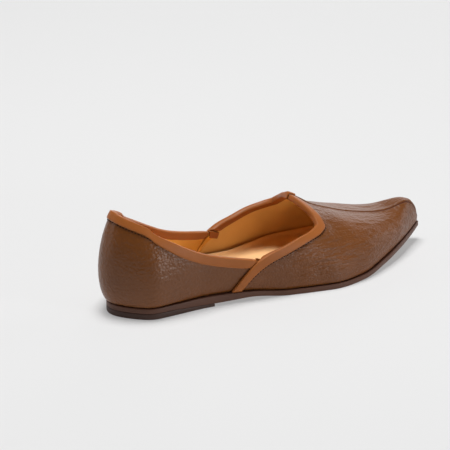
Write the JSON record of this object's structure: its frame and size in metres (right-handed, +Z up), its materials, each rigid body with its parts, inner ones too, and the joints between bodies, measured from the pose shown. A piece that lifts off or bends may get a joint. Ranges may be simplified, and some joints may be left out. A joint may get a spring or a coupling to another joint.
{
  "type": "jutti",
  "caption": "Straight leather slip-on shoe with a pointed, slightly raised toe, a low stacked heel, a high curved collar and a folded binding along the collar and throat.",
  "frame": {"origin": "on the floor, under the middle of the shoe's bounding box", "axes": "+X along the shoe to the toe, +Y to the wearer's left, +Z up"},
  "size_m": [0.2922, 0.1048, 0.0826],
  "materials": {
    "sole_leather": "dark brown, burnished edge with fine lines",
    "heel_leather": "dark brown stacked leather, burnished edge",
    "sock_leather": "light tan, smooth and matt",
    "upper_leather": "mid brown, fine pebble grain, soft sheen",
    "binding_leather": "tan, smooth, soft sheen"
  },
  "bodies": {
    "root": {"outsole": "sole_leather", "heel": "heel_leather", "insole": "sock_leather", "upper": "upper_leather", "collar_binding": "binding_leather", "throat_binding_right": "binding_leather", "throat_binding_left": "binding_leather"}
  },
  "joints": []
}
